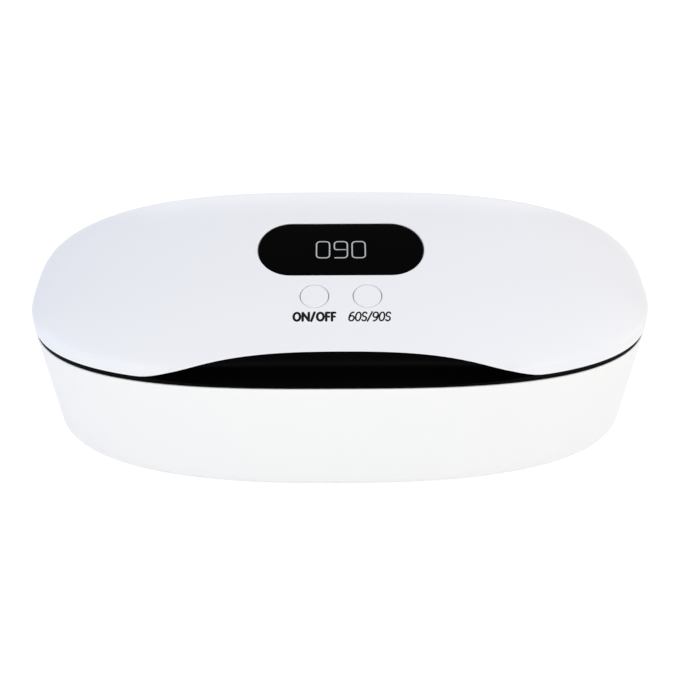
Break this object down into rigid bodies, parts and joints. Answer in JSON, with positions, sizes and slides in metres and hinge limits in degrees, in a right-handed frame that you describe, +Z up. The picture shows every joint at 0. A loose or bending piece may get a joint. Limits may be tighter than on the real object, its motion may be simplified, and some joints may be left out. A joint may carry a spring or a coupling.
{
  "type": "uv sterilizer box",
  "caption": "Oval ultraviolet sterilizer box: tapered tub with bright chamber tray, black rim collar with finger recess, hinged domed lid with display, push buttons and lamps.",
  "frame": {"origin": "centre of the bounding box on the plane that the feet stand on", "axes": "+X to the right and along the box, +Y to the hinges at the back, +Z up; the finger recess faces -Y"},
  "size_m": [0.2404, 0.1154, 0.081],
  "materials": {
    "white_shell": "smooth white ABS moulding",
    "lid_white": "glossy cool white ABS moulding",
    "bright_tray": "bright plated inner face of a moulded tray",
    "bright_panel": "bright plated plastic panel",
    "black_trim": "black ABS, smooth",
    "seal": "matt black silicone",
    "foot_rubber": "matt grey rubber",
    "steel": "plain zinc-plated or drawn steel",
    "board": "green solder mask on glass-fibre laminate",
    "lens": "smoked acrylic, polished",
    "component": "black moulded component",
    "sensor_glass": "clear glass tube",
    "lamp": "ceramic lamp package",
    "clear_window": "clear quartz",
    "magnet": "nickel-plated magnet"
  },
  "bodies": {
    "base": {"base_shell": "white_shell", "chamber_tray": "bright_tray", "rim_collar": "black_trim", "light_seal": "seal", "foot_1": "foot_rubber", "foot_2": "foot_rubber", "foot_3": "foot_rubber", "foot_4": "foot_rubber", "base_screw_1": "steel", "base_screw_2": "steel", "base_screw_3": "steel", "base_screw_4": "steel", "inlet_socket": "steel", "inlet_board": "board", "safety_magnet": "magnet", "hinge_pin_left": "steel", "hinge_pin_right": "steel"},
    "lid": {"lid_shell": "lid_white", "display_lens": "lens", "display_module": "component", "lid_panel": "bright_panel", "panel_screw_1": "steel", "panel_screw_2": "steel", "panel_screw_3": "steel", "panel_screw_4": "steel", "panel_screw_5": "steel", "panel_screw_6": "steel", "control_board": "board", "board_screw_1": "steel", "board_screw_2": "steel", "board_screw_3": "steel", "board_screw_4": "steel", "switch_power": "component", "switch_timer": "component", "buzzer": "component", "lid_sensor": "sensor_glass", "lamp_board_left": "board", "lamp_board_right": "board", "lamp_screw_left_1": "steel", "lamp_screw_left_2": "steel", "lamp_screw_right_1": "steel", "lamp_screw_right_2": "steel", "uv_lamp_left_1": "lamp", "uv_lamp_left_2": "lamp", "uv_lamp_left_3": "lamp", "uv_lamp_right_1": "lamp", "uv_lamp_right_2": "lamp", "uv_lamp_right_3": "lamp", "lamp_window_left": "clear_window", "lamp_window_right": "clear_window"},
    "power_button": {"button_power": "lid_white", "plunger_power": "component"},
    "timer_button": {"button_timer": "lid_white", "plunger_timer": "component"}
  },
  "joints": [
    {"name": "lid_hinge", "type": "hinge", "parent": "base", "child": "lid", "pos_m": [0, 0.0553, 0.0561], "axis": [-1, 0, 0], "range_deg": [0, 100]},
    {"name": "power_press", "type": "slide", "parent": "lid", "child": "power_button", "axis": [0, 0, -1], "range_m": [0, 0.0008], "stiffness_N_per_m": 400},
    {"name": "timer_press", "type": "slide", "parent": "lid", "child": "timer_button", "axis": [0, 0, -1], "range_m": [0, 0.0008], "stiffness_N_per_m": 400}
  ]
}
